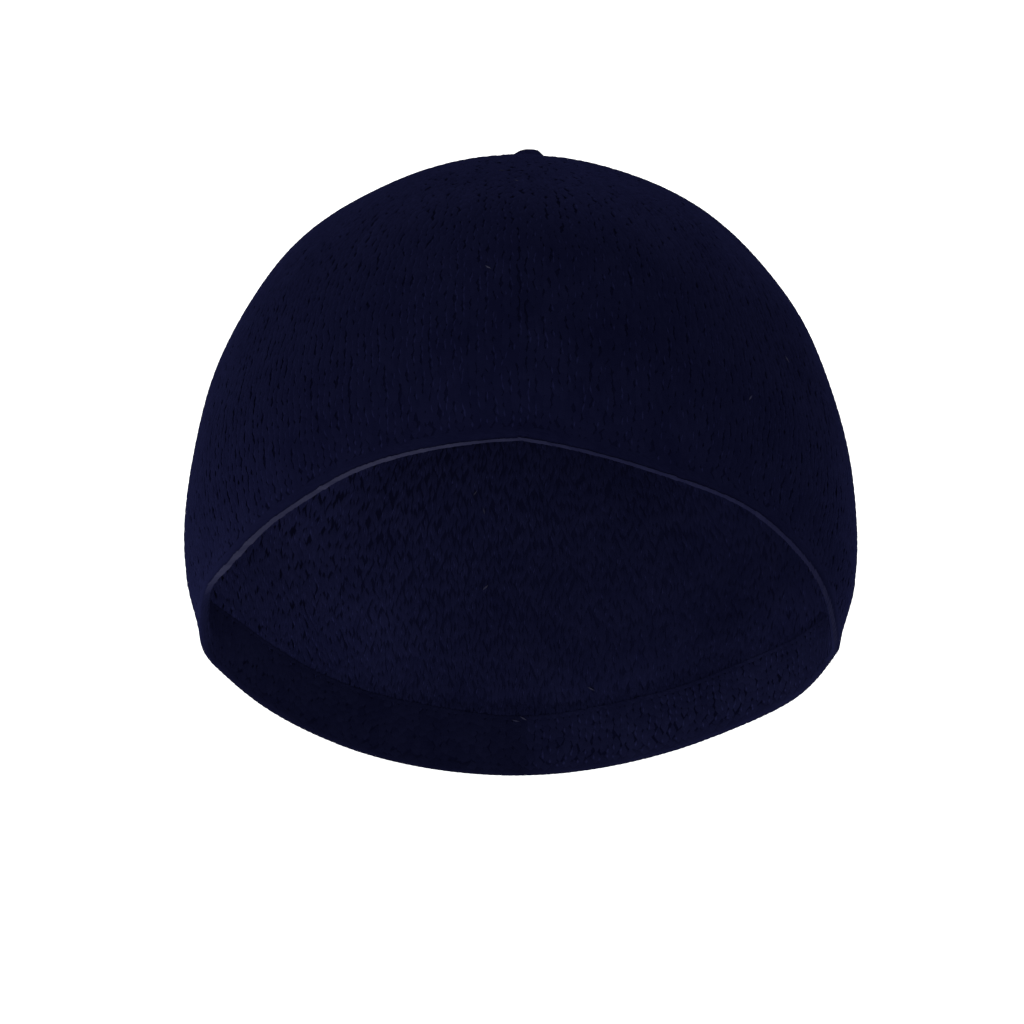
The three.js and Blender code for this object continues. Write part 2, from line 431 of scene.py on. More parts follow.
# painted light: the reverse yarn and its ground are paler than the face side's, to lift the shade in the
# hollow; the ground stays darker than the yarn, as painted shade in the gaps
insideLook = dict(yarnLook, yarn=(0.0044, 0.0050, 0.0195), rubbed=(0.0066, 0.0073, 0.0260))
insideWallLook = dict(groundShadeLook, yarn=(0.0034, 0.0038, 0.0151), rubbed=(0.0048, 0.0053, 0.0194))
hemLook = dict(yarnLook, yarn=(0.0026, 0.0029, 0.0112), rubbed=(0.0041, 0.0046, 0.0158))
lintLook = dict(
    yarnLook, yarn=(0.012, 0.0125, 0.032), rubbed=(0.034, 0.034, 0.056), mottleSize=300.0, sheen=0.0,
)
yarnMaterial = knitMaterial("navyYarn", yarnLook)
groundShadeMaterial = knitMaterial("navyGroundShade", groundShadeLook)
tipMaterial = knitMaterial("navyTip", tipLook)
insideMaterial = knitMaterial("navyReverse", insideLook)
insideWallMaterial = knitMaterial("navyReverseGround", insideWallLook)
hemMaterial = knitMaterial("navyHem", hemLook)
lintMaterial = knitMaterial("navyLint", lintLook)
print("knit finishes ready")


# grid of points to a closed mesh: rings wrap round, the ends close on a pole or on each other
def ringMesh(name, rings, poles, material):
    rows, columns = rings.shape[:2]
    points = rings.reshape(-1, 3)
    bands = rows if poles is None else rows - 1
    here, over = np.meshgrid(np.arange(bands), np.arange(columns), indexing="ij")
    below, beside = (here + 1) % rows, (over + 1) % columns
    corners = ((here, over), (here, beside), (below, beside), (below, over))
    faces = np.stack([row * columns + column for row, column in corners], -1).reshape(-1, 4).tolist()
    if poles is not None:
        first, last = len(points), len(points) + 1
        points = np.concatenate([points, poles])
        end = (rows - 1) * columns
        for column in range(columns):
            near = (column + 1) % columns
            faces.append([first, near, column])
            faces.append([last, end + column, end + near])
    mesh = bpy.data.meshes.new(name)
    mesh.from_pydata((points * mm).tolist(), [], faces)
    mesh.materials.append(material)
    mesh.shade_smooth()
    mesh.validate()
    piece = bpy.data.objects.new(name, mesh)
    bpy.context.scene.collection.objects.link(piece)
    return piece


# the wall: outer face from tip to rim, round the fold, and back up the inner face
wallGrid = {
    "columns": 288, "outerRows": 120, "foldRows": 9, "hemRows": 12, "innerRows": 90,
    "tipCourse": 0.9985, "tipCrowding": 1.25,  # rings crowd toward the tip, where the gathers are
    "innerTip": 0.9965, "innerCrowding": 1.2,
    "hemStart": 1.15,  # times the height of the fold
    "pastHem": 0.15,  # the inner face begins this far past the hem's edge
}
angles = np.linspace(0, 2 * math.pi, wallGrid["columns"], endpoint=False)
startCourse = plyForm["foldHeight"] / wallLength
crowding = np.linspace(0, 1, wallGrid["outerRows"]) ** wallGrid["tipCrowding"]
outerCourses = wallGrid["tipCourse"] + (startCourse - wallGrid["tipCourse"]) * crowding


def wallRings():
    hemCourse = (hemEdge(angles) + wallGrid["pastHem"]) / wallLength
    hemStart = plyForm["foldHeight"] * wallGrid["hemStart"]
    rings = []
    for course in outerCourses:
        rings.append(outerFace(course, angles))
    for turn in np.linspace(0, math.pi, wallGrid["foldRows"])[1:]:
        rings.append(foldFace(turn, angles))
    for length in np.linspace(hemStart, plyForm["hemHeight"], wallGrid["hemRows"]):
        rings.append(hemFace(length, angles, plyForm["ply"]))
    for part in np.linspace(0, 1, wallGrid["innerRows"]) ** wallGrid["innerCrowding"]:
        rings.append(innerFace(hemCourse + (wallGrid["innerTip"] - hemCourse) * part, angles))
    poles = np.stack([outerFace(1.0, 0.0), innerFace(1.0, 0.0)])
    return np.stack(rings), poles


wallPoints, wallPoles = wallRings()
capWall = ringMesh("capWall", wallPoints, wallPoles, groundShadeMaterial)
capWall.data.materials.append(insideWallMaterial)
capWall.data.materials.append(tipMaterial)
firstInner = wallGrid["outerRows"] + wallGrid["foldRows"]
lastTip = int(np.sum(outerCourses > 1 - softForm["bareTip"] / wallLength))
for face in capWall.data.polygons:  # the reverse side and the bare tip have grounds of their own, both painted paler to stand in for light
    ring = min(face.vertices) // wallGrid["columns"]
    face.material_index = 1 if ring >= firstInner else 2 if ring < lastTip else 0
print("wall made, faces:", len(capWall.data.polygons))

# the turned-in ply, from inside the fold to its stitched edge
hemForm = {"rows": 14, "start": 1.6, "edgeRound": 0.45}


def hemRings():
    start, end = hemForm["start"], plyForm["hemHeight"]
    inner = plyForm["ply"] + plyForm["plyGap"]
    rings = []
    for length in np.linspace(start, end - hemForm["edgeRound"], hemForm["rows"]):
        rings.append(hemFace(length, angles))
    rings.append(hemFace(end, angles, (inner + foldThickness) / 2))
    for length in np.linspace(end - hemForm["edgeRound"], start, hemForm["rows"]):
        rings.append(hemFace(length, angles, inner))
    return np.stack(rings)


hemPly = ringMesh("hemPly", hemRings(), None, groundShadeMaterial)
print("hem ply made, faces:", len(hemPly.data.polygons))

# one loop of a stitch: a leaf with a low crown and a keel that sinks into the wall, one unit each way
leafForm = {"waist": 0.05, "tipHeight": 0.2, "keel": -0.9}


def yarnLeaf():
    waist, tip, keel = leafForm["waist"], leafForm["tipHeight"], leafForm["keel"]
    points = [
        (0, -0.5, tip), (-0.5, -waist, 0), (0, -waist, 1), (0.5, -waist, 0),
        (-0.5, waist, 0), (0, waist, 1), (0.5, waist, 0), (0, 0.5, tip), (0, 0, keel),
    ]
    rim = [0, 3, 6, 7, 4, 1]
    sides = list(zip(rim, rim[1:] + rim[:1]))
    faces = [(0, 3, 2), (0, 2, 1), (2, 3, 6, 5), (1, 2, 5, 4), (5, 6, 7), (4, 5, 7)]
    faces += [(after, before, len(points) - 1) for before, after in sides]
    mesh = bpy.data.meshes.new("yarnLeaf")
    mesh.from_pydata(points, [], faces)
    mesh.shade_smooth()
    for line in mesh.edges:  # the rim stays sharp
        line.use_edge_sharp = set(line.vertices) in [set(side) for side in sides]
    return bpy.data.objects.new("yarnLeaf", mesh)


leafShape = yarnLeaf()

# how the loops vary by chance: tilt against turn, and the seed of the shade beside the seed of the place
chance = {"tilt": 0.4, "shadeSeed": 7}


# stitch tree: one leaf of yarn on every spot, turned to its facing and lay
def stitchTree():
    tree = bpy.data.node_groups.new("yarnLoops", "GeometryNodeTree")
    face = tree.interface
    face.new_socket("Spots", in_out="INPUT", socket_type="NodeSocketGeometry")
    for label, kind in (
        ("Leaf", "Object"), ("Width", "Float"), ("Length", "Float"), ("Height", "Float"),
        ("Size Spread", "Float"), ("Turn Spread", "Float"), ("Seed", "Int"), ("Yarn", "Material"),
    ):
        face.new_socket(label, in_out="INPUT", socket_type="NodeSocket" + kind)
    face.new_socket("Knit", in_out="OUTPUT", socket_type="NodeSocketGeometry")
    given = addNode(tree, "NodeGroupInput").outputs
    facing, lay, spotSize = (
        addNode(
            tree, "GeometryNodeInputNamedAttribute", {"Name": label}, data_type="FLOAT_VECTOR",
        ).outputs["Attribute"]
        for label in ("facing", "lay", "spotSize")
    )
    # the leaf at its full size
    leaf = addNode(tree, "GeometryNodeObjectInfo", {"Object": given["Leaf"]})
    size = addNode(tree, "ShaderNodeCombineXYZ", {
        "X": given["Width"], "Y": given["Length"], "Z": given["Height"],
    })
    laid = addNode(tree, "GeometryNodeTransform", {
        "Geometry": leaf.outputs["Geometry"], "Scale": size.outputs["Vector"],
    })
    # stood on its facing, turned to its lay, then a little to and fro
    stand = addNode(tree, "FunctionNodeAlignRotationToVector", {"Vector": facing}, axis="Z")
    along = addNode(tree, "FunctionNodeAlignRotationToVector", {
        "Rotation": stand.outputs["Rotation"], "Vector": lay,
    }, axis="Y", pivot_axis="Z")
    least, most = (
        addNode(tree, "ShaderNodeVectorMath", {
            0: (way * chance["tilt"], way * chance["tilt"], way), "Scale": given["Turn Spread"],
        }, operation="SCALE").outputs["Vector"]
        for way in (-1.0, 1.0)
    )
    wander = addNode(tree, "FunctionNodeRandomValue", {
        0: least, 1: most, "Seed": given["Seed"],
    }, data_type="FLOAT_VECTOR")
    turn = addNode(tree, "FunctionNodeEulerToRotation", {0: wander.outputs[0]})
    turned = addNode(tree, "FunctionNodeRotateRotation", {
        "Rotation": along.outputs["Rotation"], "Rotate By": turn.outputs["Rotation"],
    }, rotation_space="LOCAL")
    # a little larger or smaller
    low, high = (
        addNode(tree, "ShaderNodeMath", {0: 1.0, 1: given["Size Spread"]}, operation=change).outputs["Value"]
        for change in ("SUBTRACT", "ADD")
    )
    swell = addNode(tree, "FunctionNodeRandomValue", {
        2: low, 3: high, "Seed": given["Seed"],
    }, data_type="FLOAT")
    scale = addNode(tree, "ShaderNodeVectorMath", {
        0: spotSize, "Scale": swell.outputs[1],
    }, operation="SCALE")
    placed = addNode(tree, "GeometryNodeInstanceOnPoints", {
        "Points": given["Spots"], "Instance": laid.outputs["Geometry"],
        "Rotation": turned.outputs["Rotation"], "Scale": scale.outputs["Vector"],
    })
    # each with a shade of its own
    shadeSeed = addNode(tree, "FunctionNodeIntegerMath", {
        0: given["Seed"], 1: chance["shadeSeed"],
    }, operation="ADD")
    shade = addNode(tree, "FunctionNodeRandomValue", {"Seed": shadeSeed.outputs[0]}, data_type="FLOAT")
    shaded = addNode(tree, "GeometryNodeStoreNamedAttribute", {
        "Geometry": placed.outputs["Instances"], "Name": "yarnShade", "Value": shade.outputs[1],
    }, data_type="FLOAT", domain="INSTANCE")
    real = addNode(tree, "GeometryNodeRealizeInstances", {"Geometry": shaded.outputs["Geometry"]})
    dyed = addNode(tree, "GeometryNodeSetMaterial", {
        "Geometry": real.outputs["Geometry"], "Material": given["Yarn"],
    })
    addNode(tree, "NodeGroupOutput", {"Knit": dyed.outputs["Geometry"]})
    return tree


loopTree = stitchTree()
treeInputs = [item for item in loopTree.interface.items_tree if item.in_out == "INPUT"]
socketNames = {item.name: item.identifier for item in treeInputs}


# spots carry place, facing, lay and size; the tree turns them into yarn, and the result into a plain mesh
def stitchPiece(name, spots, loop, material):
    mesh = bpy.data.meshes.new(name + "Spots")
    mesh.from_pydata((spots["place"] * mm).tolist(), [], [])
    for label in ("facing", "lay", "spotSize"):
        stored = mesh.attributes.new(label, "FLOAT_VECTOR", "POINT")
        stored.data.foreach_set("vector", spots[label].astype(np.float32).ravel())
    for label in ("paintedHighlight", "tone"):
        stored = mesh.attributes.new(label, "FLOAT", "POINT")
        stored.data.foreach_set("value", spots[label].astype(np.float32))
    piece = bpy.data.objects.new(name, mesh)
    bpy.context.scene.collection.objects.link(piece)
    modifier = piece.modifiers.new("yarn", "NODES")
    modifier.node_group = loopTree
    values = {
        "Leaf": leafShape, "Yarn": material, "Seed": loop["seed"],
        "Width": loop["width"] * mm, "Length": loop["length"] * mm, "Height": loop["height"] * mm,
        "Size Spread": loop["sizeSpread"], "Turn Spread": math.radians(loop["turnSpread"]),
    }
    for label, value in values.items():
        modifier[socketNames[label]] = value
    graph = bpy.context.evaluated_depsgraph_get()
    finished = piece.evaluated_get(graph)
    made = bpy.data.meshes.new_from_object(finished, preserve_all_data_layers=True, depsgraph=graph)
    piece.modifiers.clear()
    piece.data = made
    made.name = name
    bpy.data.meshes.remove(mesh)
    print(name, "stitches:", len(spots["place"]), "faces:", len(made.polygons))
    return piece


def joinSpots(parts):
    return {label: np.concatenate([part[label] for part in parts]) for label in parts[0]}


def pickSpots(spots, keep):
    return {label: values[keep] for label, values in spots.items()}


# even places along a line round the face at one step, as angles
def evenPlaces(face, along, first, last, pitch=None, count=None, fineness=samples["line"]):
    dense = np.radians(np.linspace(first, last, fineness))
    lengths = lengthsAlong(face(along, dense))
    count = count or int(lengths[-1] / pitch)
    return np.interp((np.arange(count) + 0.5) / count * lengths[-1], lengths, dense)


# wales stand at even steps round the wall, and drop out in turn as the crown narrows
waleForm = {
    "halvings": 8, "pitch": 1.95, "least": 12, "evenAt": 0.22, "seed": 3, "swing": 0.1, "legShift": 7,
}
waleCount = 2 ** waleForm["halvings"]
waleAngles = evenPlaces(outerFace, waleForm["evenAt"], 0, 360, count=waleCount, fineness=samples["wales"])
walePhase = np.random.default_rng(waleForm["seed"]).uniform(-1, 1, waleCount)
# every other wale goes first, then every other one of the rest: the wale's number in bits, read backwards
topBit = waleForm["halvings"] - 1
waleRank = sum((np.arange(waleCount) >> bit & 1) << topBit - bit for bit in range(topBit + 1))


# the wales that reach a ring: angle, room to the neighbours, own phase and which way each is staggered
def walesAt(perimeter):
    left = np.nonzero(waleRank < max(perimeter / waleForm["pitch"], waleForm["least"]))[0]
    here = waleAngles[left]
    after = (np.roll(here, -1) - here) % (2 * math.pi)
    before = np.roll(after, 1)
    turnAbout = np.arange(len(left)) % 2 - 0.5
    return here + (after - before) / 4, (after + before) / 2, walePhase[left], turnAbout


# the wales wander to and fro from course to course, neighbours together, by two waves that share no beat
def waleSwing(step, angle):
    wide = np.sin(0.8 * step + 7 * angle + 2 * np.sin(3 * angle))
    narrow = np.sin(0.37 * step - 13 * angle + 1.3)
    return waleForm["swing"] * (wide + 0.6 * narrow)


# slow change of the yarn's width over the cap, so that the gaps come and go in patches
patchForm = {"scale": 0.11, "spread": 0.025}


def patchWidth(place):
    x, y, z = (place * patchForm["scale"]).T
    slow = np.sin(1.3 * x + 0.7 * z + 0.5) * np.sin(1.1 * y - 0.9 * z) + np.sin(2.1 * z - 1.7 * x + 2.0 * y)
    return 1 + patchForm["spread"] * slow


# painted light and shade over the outside: paler on the left, where the light falls, with soft painted
# patches
outsideLightForm = {
    "middle": 0.87, "fall": 0.09, "fallAt": 12.0, "fallReach": 40.0,
    "patches": (  # across from, to, along from, to in millimetres, painted light added
        (-40.0, -70.0, -15.0, -65.0, 0.18),  # painted light on the rim on the left
        (70.0, 84.0, -50.0, -75.0, -0.16),  # painted shadow on the rim on the right
        (-5.0, 20.0, -12.0, 18.0, 0.22),  # painted sheen on the top on the right
        (76.0, 86.0, -70.0, -55.0, 0.1),  # painted sheen on the flank on the right
    ),
}


def outsidePaintedLight(place):
    form = outsideLightForm
    x, y = place[:, 0], place[:, 1]
    tone = form["middle"] - form["fall"] * np.tanh((x - form["fallAt"]) / form["fallReach"])
    for acrossFrom, acrossTo, alongFrom, alongTo, added in form["patches"]:
        tone = tone + added * ramp(x, acrossFrom, acrossTo) * ramp(y, alongFrom, alongTo)
    return tone


# painted shade on the half of the hem left of the back crease, turned from the light, and painted light on
# the other half; both painted paler to the sides
hemLightForm = {
    "crease": (-1.0, 4.0), "dark": 0.83, "darkSide": 0.2, "pale": 1.1, "paleSide": 0.72, "sideAt": 80.0,
}


def hemPaintedLight(place):
    x = place[:, 0]
    step = ramp(x, *hemLightForm["crease"])
    aside = np.abs(x) / hemLightForm["sideAt"]
    dark = hemLightForm["dark"] + hemLightForm["darkSide"] * aside
    pale = hemLightForm["pale"] + hemLightForm["paleSide"] * aside
    return dark * (1 - step) + pale * step


# painted light on the reverse: paler at the sides and to the left, paler deep behind the mouth, and beside
# the hem painted paler on the right and darker on the left
reverseLightForm = {
    "middle": 0.78, "sides": 0.44, "fall": 0.22, "sideAt": 70.0, "deep": 0.1, "deepFrom": (-25.0, 5.0),
    "hemAt": -62.0, "hemBow": 14.0, "hemReach": 9.0, "hemRight": 0.19, "hemLeft": -0.1, "hemFrom": 0.3,
}


def reversePaintedLight(place):
    form = reverseLightForm
    x, y = place[:, 0] / form["sideAt"], place[:, 1]
    aside = form["hemRight"] * ramp(x, 0, form["hemFrom"]) + form["hemLeft"] * ramp(-x, 0, form["hemFrom"])
    nearHem = bell(y - form["hemAt"] - form["hemBow"] * x * x, form["hemReach"]) * aside
    deep = form["deep"] * ramp(y, *form["deepFrom"])
    return form["middle"] + form["sides"] * x * x - form["fall"] * x + deep + nearHem


# how full the yarn lies on each side, as a share of its width
outsideFull = {
    "rim": 0.17, "rimReach": 12.0, "tip": 0.25, "tipReach": 22.0,
    "shoulder": 0.26, "shoulderAt": 52.0, "shoulderReach": 30.0, "right": 0.07, "rightAt": 30.0,
}
hemFull = {
    "plain": 1.15, "fold": 0.2, "foldAt": 2.0, "foldReach": 3.5, "right": -0.16, "rightFrom": (-2.0, 4.0),
}
reverseFull = {
    "plain": 0.97, "right": 0.1, "rightFrom": (5.0, 27.0), "left": 0.12, "leftFrom": (-40.0, -56.0),
    "middle": -0.04, "middleAt": -14.0, "middleReach": 26.0,
}


def outsideFill(course, place):
    form = outsideFull
    fromRim, fromTip = course * wallLength, (1 - course) * wallLength
    closer = form["rim"] * bell(fromRim, form["rimReach"]) + form["tip"] * bell(fromTip, form["tipReach"])
    closer += form["shoulder"] * bell(fromTip - form["shoulderAt"], form["shoulderReach"])
    return 1 + closer + form["right"] * ramp(place[:, 0], 0, form["rightAt"])


def hemFill(length, place):
    form = hemFull
    closer = form["fold"] * bell(length - form["foldAt"], form["foldReach"])
    return form["plain"] + closer + form["right"] * ramp(place[:, 0], *form["rightFrom"])


def reverseFill(course, place):
    form = reverseFull
    x = place[:, 0]
    sides = form["right"] * ramp(x, *form["rightFrom"]) + form["left"] * ramp(x, *form["leftFrom"])
    return form["plain"] + sides + form["middle"] * bell(x - form["middleAt"], form["middleReach"])


# height and length of the loops: low beside the rim, where the fold presses them,
# and short at the gathered tip
riseForm = {
    "rimLow": 0.35, "rimFrom": (2.0, 11.0), "tipLow": 0.18, "tipFrom": (3.0, 15.0), "hemFrom": (1.0, 7.0),
    "short": 0.3, "tipShort": 0.2, "wholeFrom": 10.0, "reverseFrom": 9.0,
}


def between(low, share):
    return low + (1 - low) * share


def outsideRise(course):
    fromRim, fromTip = course * wallLength, (1 - course) * wallLength
    atRim = between(riseForm["rimLow"], ramp(fromRim, *riseForm["rimFrom"]))
    atTip = between(riseForm["tipLow"], ramp(fromTip, *riseForm["tipFrom"]))
    low = min(atRim, atTip)
    whole = max(fromTip / riseForm["wholeFrom"], riseForm["tipShort"])
    return low, min(between(riseForm["short"], low), whole)


def hemRise(length):
    low = between(riseForm["rimLow"], ramp(length, *riseForm["hemFrom"]))
    return low, between(riseForm["short"], low)


def reverseRise(course):
    fromTip = (1 - course) * wallLength
    return 1.0, min(max(fromTip / riseForm["reverseFrom"], riseForm["short"]), 1.0)


# one loop on each wale of a course
def courseStitches(face, along, side, pitch, step, look, rng):
    perimeter = float(lengthsAlong(face(along, np.linspace(0, 2 * math.pi, samples["ring"])))[-1])
    middle, room, phase, turnAbout = walesAt(perimeter)
    phase = look["phase"] * phase + look["stagger"] * turnAbout
    if look["legs"] == 2:
        middle = np.concatenate([middle - room / 4, middle + room / 4])
        room, phase = np.tile(room / 2, 2), np.concatenate([phase, np.roll(phase, waleForm["legShift"])])
    count = len(middle)
    swing = waleSwing(step, middle)
    angle = middle + (rng.normal(0, look["drift"], count) + swing) * room
    jog = along + (phase + rng.normal(0, look["jog"], count)) * pitch
    jog = np.clip(jog, *look["between"])
    place, facing, wale, reach = faceFrame(face, jog, angle, side, 0.1 * pitch)
    across = unit(np.cross(facing, wale))
    follow = (waleSwing(step + 0.5, middle) - swing) * 2 * room * reach / look["coursePitch"]
    lean = math.radians(look["lean"]) * rng.choice([-1, 1], count) + side * np.arctan(follow)
    lay = wale * np.cos(lean)[:, None] + across * np.sin(lean)[:, None]
    wide = np.clip(room * reach * look["legs"] / waleForm["pitch"], *look["widthLimits"])
    wide = wide * patchWidth(place) * look["fill"](along, place)
    wide = wide * rng.uniform(1 - look["widthSpread"], 1 + look["widthSpread"], count)
    rise, long = look["rise"](along)
    long = rng.uniform(1 - look["lengthSpread"], 1 + look["lengthSpread"], count) * long
    loops = {
        "place": place + facing * (look["lift"] * rise), "facing": facing, "lay": lay,
        "spotSize": np.stack([wide, long, np.full(count, rise)], -1),
        "paintedHighlight": np.zeros(count), "tone": look["tone"](place), "angle": angle,
    }
    # a thin ply on one flank of some loops, with a painted highlight: brighter than its loop, and more of
    # them on the lit side
    share = look["plyLeft"] + (look["plyRight"] - look["plyLeft"]) * ramp(place[:, 0], *look["plyFrom"])
    plies = pickSpots(loops, rng.random(count) < share)
    aside = unit(np.cross(plies["facing"], plies["lay"])) * (look["plyAside"] * plies["spotSize"][:, :1])
    plies["place"] = plies["place"] + aside + plies["facing"] * look["plyRise"]
    plies["spotSize"] = plies["spotSize"] * np.array(look["plySize"])
    plies["tone"] = plies["tone"] * look["plyHighlight"]
    return joinSpots([loops, plies])


# face side of the knit, over the whole outside
faceStitch = {
    "coursePitch": 2.5, "firstCourse": 1.5,
    "tipPitch": 0.25, "leastPitch": 0.9,  # rows lie closer at the tip
    "legs": 1, "width": 2.08, "length": 6.0, "height": 0.36, "lean": 7.0, "lift": 0.14, "seed": 11,
    "jog": 0.17, "drift": 0.13, "phase": 0.22, "stagger": 0.5,
    "widthSpread": 0.1, "widthLimits": (0.45, 1.6), "lengthSpread": 0.1,
    "sizeSpread": 0.05, "turnSpread": 5.0,
    "plyLeft": 0.5, "plyRight": 0.22, "plyFrom": (-3.0, 9.0),
    "plyAside": 0.5, "plyRise": 0.1, "plySize": (0.24, 0.42, 0.7), "plyHighlight": 1.7,
    "tone": outsidePaintedLight, "fill": outsideFill, "rise": outsideRise,
    "between": (3.2 / wallLength, 1 - 0.5 / wallLength),  # courses that the loops keep to
    "splitHeight": 62.0,  # parts the front pieces from the back ones
}


def faceSpots():
    look = faceStitch
    rng = np.random.default_rng(look["seed"])
    parts, length = [], look["firstCourse"] * look["coursePitch"]
    while length < wallLength - softForm["bareTip"]:
        pitch = min(max(look["tipPitch"] * (wallLength - length), look["leastPitch"]), look["coursePitch"])
        course, step = length / wallLength, pitch / wallLength
        parts.append(courseStitches(outerFace, course, 1, step, len(parts), look, rng))
        length += pitch
    return joinSpots(parts)


outside = faceSpots()
left, front = outside["place"][:, 0] < 0, outside["place"][:, 2] > faceStitch["splitHeight"]
knitPieces = []
for name, keep in (
    ("knitFrontLeft", left & front), ("knitFrontRight", ~left & front),
    ("knitBackLeft", left & ~front), ("knitBackRight", ~left & ~front),
):
    knitPieces.append(stitchPiece(name, pickSpots(outside, keep), faceStitch, yarnMaterial))


# loops laid along a line round the cap, plain in size and with no painted light or shade
def lineSpots(face, along, angle, side, step, lift, slant=0.0):
    place, facing, wale, _ = faceFrame(face, along, angle, side, step)
    slant = np.radians(slant)
    lay = unit(np.cross(facing, wale)) * np.cos(slant) + wale * np.sin(slant)
    count = len(angle)
    return {
        "place": place + facing * lift, "facing": facing, "lay": lay,
        "spotSize": np.ones((count, 3)), "paintedHighlight": np.zeros(count), "tone": np.ones(count),
    }


# loops laid along the rim, row beside row over its fold
foldStitch = {
    "rows": 11, "margin": 0.02, "pitch": 1.8, "width": 1.2, "slim": 0.25,
    "length": 3.8, "height": 0.1, "lift": 0.02, "step": 0.05,
    "rowTurn": 137.5,  # degrees from the start of one row to the next
    "sizeSpread": 0.06, "turnSpread": 3.0, "seed": 23, "slant": 6.0,
    "shadeTurn": (0.8, 2.0), "innerTone": 0.66,  # the painted light and shade goes over to the hem's round the fold, darker by innerTone on the inside
}


# even steps round the fold's half ellipse
def foldTurns():
    dense = np.linspace(0, math.pi, samples["fold"])
    pace = np.hypot(plyForm["foldHeight"] * np.cos(dense), foldThickness / 2 * np.sin(dense))
    rows = np.linspace(foldStitch["margin"], 1 - foldStitch["margin"], foldStitch["rows"])
    return np.interp(rows, np.cumsum(pace) / pace.sum(), dense)


def foldSpots(first, last):
    form = foldStitch
    parts = []
    for row, turn in list(enumerate(foldTurns()))[first:last]:
        start = form["rowTurn"] * row
        angle = evenPlaces(foldFace, turn, start, start + 360, form["pitch"])
        spots = lineSpots(foldFace, turn, angle, -1, form["step"], form["lift"], form["slant"])
        place = foldFace(turn, angle)
        inner = ramp(turn, *form["shadeTurn"])
        spots["spotSize"][:, 0] = 1 - form["slim"] * math.sin(turn) ** 2
        spots["tone"] = outsidePaintedLight(place) * (1 - inner) + form["innerTone"] * hemPaintedLight(place) * inner
        parts.append(spots)
    return joinSpots(parts)


crestRow = foldStitch["rows"] // 2
rimOutside = stitchPiece("rimOutside", foldSpots(0, crestRow), foldStitch, yarnMaterial)
rimInside = stitchPiece("rimInside", foldSpots(crestRow, foldStitch["rows"]), foldStitch, hemMaterial)
knitPieces += [rimOutside, rimInside]

# rolled edge along the crest of the front rim, fuller on the left, with a painted highlight that is
# brightest on the left;
# each loop leans across the roll, as in a twisted cord
rimRoll = {
    "turn": 1.62, "pitch": 1.7, "width": 1.6, "length": 4.6, "height": 0.3, "lift": 0.16, "slant": 19.0,
    "step": 0.05, "sizeSpread": 0.06, "turnSpread": 4.0, "seed": 5,
    "from": -14.0, "to": 171.0, "fadeRight": 24.0, "fadeLeft": 16.0,
    "leftFrom": (76.0, 110.0), "fullLeft": 1.08, "fullRight": 0.88, "highlightLeft": 0.62, "highlightRight": 0.16,
    "endFull": 0.3, "endHigh": 0.5, "thinFull": 0.25, "thinFrom": (-2.0, 43.0), "uneven": 0.14,
}


def rollSpots():
    form = rimRoll
    start, end = form["from"], form["to"]
    angle = evenPlaces(foldFace, form["turn"], start, end, form["pitch"])
    degrees = np.degrees(angle)
    side = ramp(degrees, *form["leftFrom"])
    ends = smooth((degrees - start) / form["fadeRight"]) * smooth((end - degrees) / form["fadeLeft"])
    full = (form["fullRight"] * (1 - side) + form["fullLeft"] * side) * between(form["endFull"], ends)
    full = full * between(form["thinFull"], ramp(degrees, *form["thinFrom"]))
    paintedHighlight = ends * (form["highlightRight"] * (1 - side) + form["highlightLeft"] * side)
    rng = np.random.default_rng(form["seed"])
    uneven = 1 + form["uneven"] * np.sin(angle * 41 + 3 * np.sin(angle * 17))
    uneven = uneven + rng.normal(0, form["uneven"] / 2, len(angle))
    lift = (form["lift"] * ends)[:, None]
    spots = lineSpots(foldFace, form["turn"], angle, -1, form["step"], lift, form["slant"])
    spots["spotSize"] = np.stack([full * uneven, np.ones(len(angle)), between(form["endHigh"], ends)], -1)
    spots["paintedHighlight"] = paintedHighlight * uneven
    return spots


knitPieces.append(stitchPiece("rimRoll", rollSpots(), rimRoll, yarnMaterial))

# face side of the turned-in ply, seen inside the rim
hemStitch = dict(
    faceStitch, coursePitch=2.4, first=2.0, last=0.8, width=2.26, length=5.0, height=0.26, seed=31,
    plyLeft=0.0, plyRight=0.5, drift=0.08, jog=0.13, phase=0.2, widthSpread=0.08,
    tone=hemPaintedLight, fill=hemFill, rise=hemRise, between=(1.7, plyForm["hemHeight"] - 2.2),
)


def hemSpots():
    rng = np.random.default_rng(hemStitch["seed"])
    pitch = hemStitch["coursePitch"]
    rows = np.arange(hemStitch["first"], plyForm["hemHeight"] - hemStitch["last"], pitch)
    parts = []
    for row, at in enumerate(rows):
        parts.append(courseStitches(hemFace, at, -1, pitch, row, hemStitch, rng))
    return joinSpots(parts)


hemStitches = stitchPiece("hemStitches", hemSpots(), hemStitch, hemMaterial)
knitPieces.append(hemStitches)

# bound edge of the hem, loops laid along its length
hemBind = {
    "inFromEdge": 0.5, "pitch": 2.0, "width": 1.5, "length": 5.0, "height": 0.2, "lift": 0.04, "step": 0.2,
    "sizeSpread": 0.05, "turnSpread": 5.0, "seed": 37,
}


def bindSpots():
    at = plyForm["hemHeight"] - hemBind["inFromEdge"]
    angle = evenPlaces(hemFace, at, 0, 360, hemBind["pitch"])
    spots = lineSpots(hemFace, at, angle, -1, hemBind["step"], hemBind["lift"])
    spots["tone"] = hemPaintedLight(hemFace(at, angle))
    return spots


hemEdging = stitchPiece("hemEdging", bindSpots(), hemBind, hemMaterial)
knitPieces.append(hemEdging)

